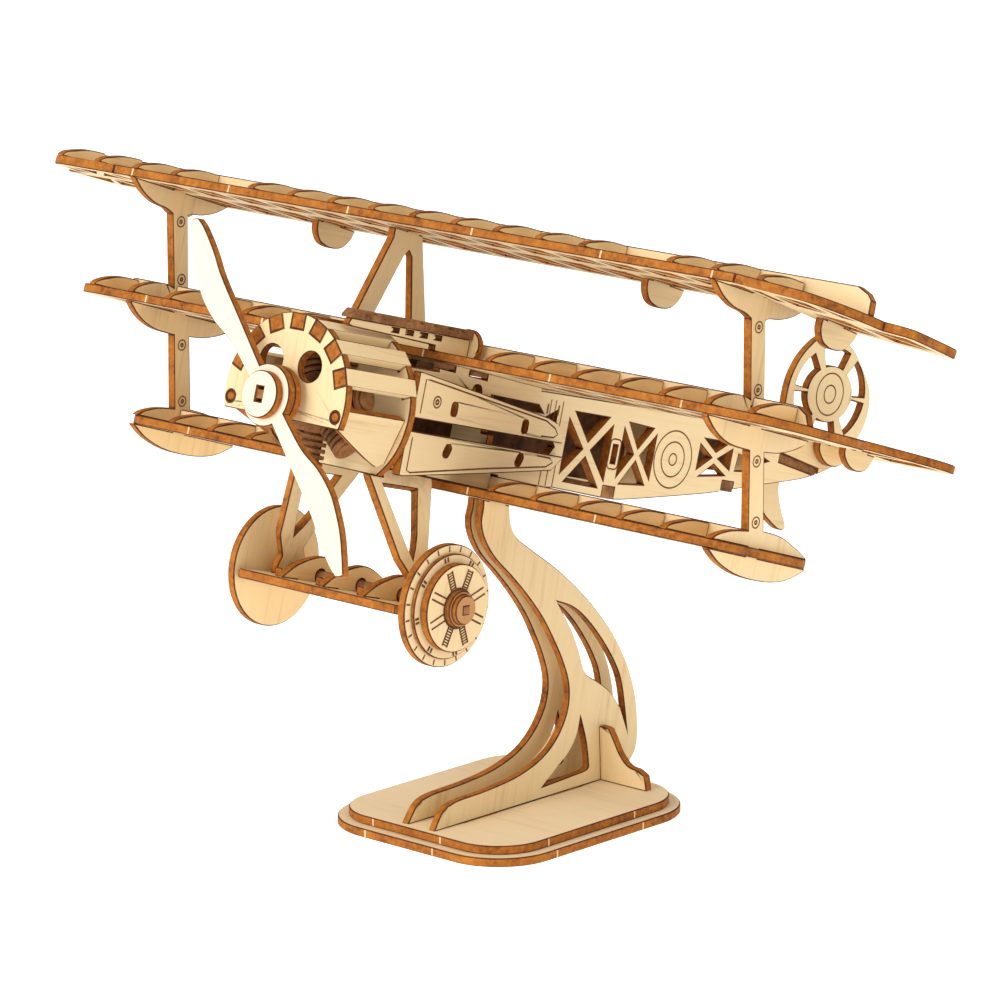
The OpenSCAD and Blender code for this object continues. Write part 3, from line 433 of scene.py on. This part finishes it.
def fairing_lines(s, tag):
    """Outline inside each fairing's edge, and a rivet on the upper one."""
    f = Engraving("fairing_upper_lines_" + tag, fairing_face(s, FAIRINGS["upper"]))
    f.line([(66.0, 1.5), (70.4, 1.6), (71.6, 2.4), (70.4, 3.6), (67.0, 4.9), (26, 9.2), (24.4, 9.2),
            (24.4, 2.0)], 0.36)
    f.ring((29.3, 4.9), 1.2, 0.36, 24).ring((29.3, 4.9), 0.45, 0.5, 16)
    f.done()
    g = Engraving("fairing_lower_lines_" + tag, fairing_face(s, FAIRINGS["lower"]))
    g.line([(24.2, -3.2), (24.2, -10.2), (25.4, -10.6), (50.4, -7.2), (69.6, -4.9), (71.8, -3.7),
            (70.6, -2.9), (66.0, -2.8)], 0.36)
    g.done()


def strut_rivets(s, tag):
    """Four rivets down each face of an interplane strut."""
    top_y, top_z = STRUT_TOP
    for k, (x, outward) in enumerate(((s * STRUT_OUTER, s), (s * STRUT_INNER, -s))):
        r = Engraving("strut_rivets_%s_%d" % (tag, k), side_face(x, outward))
        for z in (32.6, 20.0, 5.6, -6.8):
            rivet = (top_y + STRUT_RAKE * (top_z - z) + 2.4, z)
            r.ring(rivet, 1.15, FINE_LINE, 24).ring(rivet, 0.35, WIDE_LINE, 12)
        r.done()


def rudder_lines(s, tag):
    t = Engraving("rudder_lines_" + tag, side_face(s * RUDDER_FACE, s))
    t.ring(RUDDER, 4.9, LINE, 44).ring(RUDDER, 2.1, LINE, 28)
    t.done()


def wheel_lines(s, tag):
    """Ticks on the tyre and the rim; a hub ring and eight drawn spokes on the disc."""
    t = Engraving("tyre_lines_" + tag, side_face(s * TYRE_FACE, s), "wheel_set")
    for i in range(22):
        a = i * 360 / 22 + 4
        t.line([polar(AXLE, a, 11.5), polar(AXLE, a, 12.7)], WIDE_LINE)
    t.done()
    t = Engraving("rim_lines_" + tag, side_face(s * RIM_FACE, s), "wheel_set")
    for i in range(16):
        a = (i // 2) * 45 + (i % 2) * 5 + 20
        t.line([polar(AXLE, a, 9.7), polar(AXLE, a, 10.85)], 0.55)
    t.done()
    t = Engraving("spoke_lines_" + tag, side_face(s * SPOKE_FACE, s), "wheel_set")
    t.ring(AXLE, 4.15, 0.6, 40)
    half = 0.75
    for i in range(8):
        a = i * 45 + 32
        for off in (-half, half):
            t.line([polar(AXLE, a, 4.3, off), polar(AXLE, a, 8.5, off)], 0.42)
        if i % 4 in (1, 2):                     # ladder rungs in two pairs of spokes
            for j in range(7):
                r = 4.7 + j * 0.58
                t.line([polar(AXLE, a, r, -half), polar(AXLE, a, r, half)], LINE)
    t.done()


for s, tag in SIDES:
    fuselage_lines(s, tag)
    fairing_lines(s, tag)
    strut_rivets(s, tag)
    rudder_lines(s, tag)
    wheel_lines(s, tag)

e = Engraving("cowl_peg_rings", nose_face(0))
for x in (-15.2, 15.2):
    e.ring((x, -1.8), 1.4, WIDE_LINE, 28)
e.done(char)

# little pale bridges left across the scorched edges where each part was snapped out of its sheet
for w, places in (("upper", (-84, -54, -18, 18, 54, 84)), ("middle", (-78, -42, 6, 42, 78)),
                  ("lower", (-66, -30, 18, 54))):
    e = Engraving("wing_nibs_" + w, wing_edge(w), lift=NIB_LIFT)
    for x in places:
        e.nib(x, WING_UNDERSIDE)
    e.done(bare)

for layer, (z0, half_x, half_y) in BASE_LAYERS.items():
    for tag, place, spots in (("front", base_front(half_y), (-12, 8)),
                              ("port", base_side(half_x, 1), (-16, 12)),
                              ("starboard", base_side(half_x, -1), (-16, 12))):
        e = Engraving("base_nibs_%s_%s" % (layer, tag), place, lift=NIB_LIFT)
        for x in spots:
            e.nib(x, z0)
        e.done(bare)

# ---------------------------------------------------------------- floor, light, camera, in metres

FLOOR_HALF = 6
WHITE = (1, 1, 1, 1)
floor_corners = [(x * FLOOR_HALF, y * FLOOR_HALF, 0)
                 for x, y in ((-1, -1), (1, -1), (1, 1), (-1, 1))]
floor_mesh = bpy.data.meshes.new("floor")
floor_mesh.from_pydata(floor_corners, [], [(0, 1, 2, 3)])
floor = bpy.data.objects.new("floor", floor_mesh)
bpy.context.scene.collection.objects.link(floor)
paper, nt, bsdf = new_material("floor_paper")
bsdf.inputs["Base Color"].default_value = (0.93, 0.93, 0.93, 1)
bsdf.inputs["Roughness"].default_value = 0.9
bsdf.inputs["Specular IOR Level"].default_value = 0.1
bsdf.inputs["Emission Color"].default_value = WHITE
bsdf.inputs["Emission Strength"].default_value = 0.6
floor_mesh.materials.append(paper)
floor.location.z = -0.0002

world = bpy.data.worlds.new("studio")
world.use_nodes = True
world.node_tree.nodes["Background"].inputs["Color"].default_value = WHITE
world.node_tree.nodes["Background"].inputs["Strength"].default_value = 0.57
bpy.context.scene.world = world

AIM = Vector((0, 0, 0.08))


def soft_light(name, where, size, power):
    """Square lamp, its size in metres and its power in watts, turned toward the model."""
    lamp = bpy.data.lights.new(name, "AREA")
    lamp.shape = "SQUARE"
    lamp.size = size
    lamp.energy = power
    o = bpy.data.objects.new(name, lamp)
    o.location = where
    o.rotation_euler = (AIM - Vector(where)).to_track_quat("-Z", "Y").to_euler()
    bpy.context.scene.collection.objects.link(o)


soft_light("key", (-0.2, -1.3, 0.75), 0.9, 15)
soft_light("side", (1.3, -0.1, 0.7), 0.9, 3)
soft_light("top", (0.1, 0.1, 1.5), 1.2, 4)

CAMERA_DOWN, CAMERA_TURN = 13.63, 42.57         # degrees below level, and turned from +Y to -X
cam = bpy.data.cameras.new("camera")
cam.sensor_width = 36
cam.lens = 208.0591
cam.clip_start = 0.05
cam.clip_end = 30
camera = bpy.data.objects.new("camera", cam)
camera.location = (0.82589, -0.90205, 0.36817)
camera.rotation_euler = (math.radians(90 - CAMERA_DOWN), 0, math.radians(CAMERA_TURN))
bpy.context.scene.collection.objects.link(camera)
bpy.context.scene.camera = camera
bpy.context.scene.view_settings.view_transform = "Standard"

bpy.context.view_layer.update()
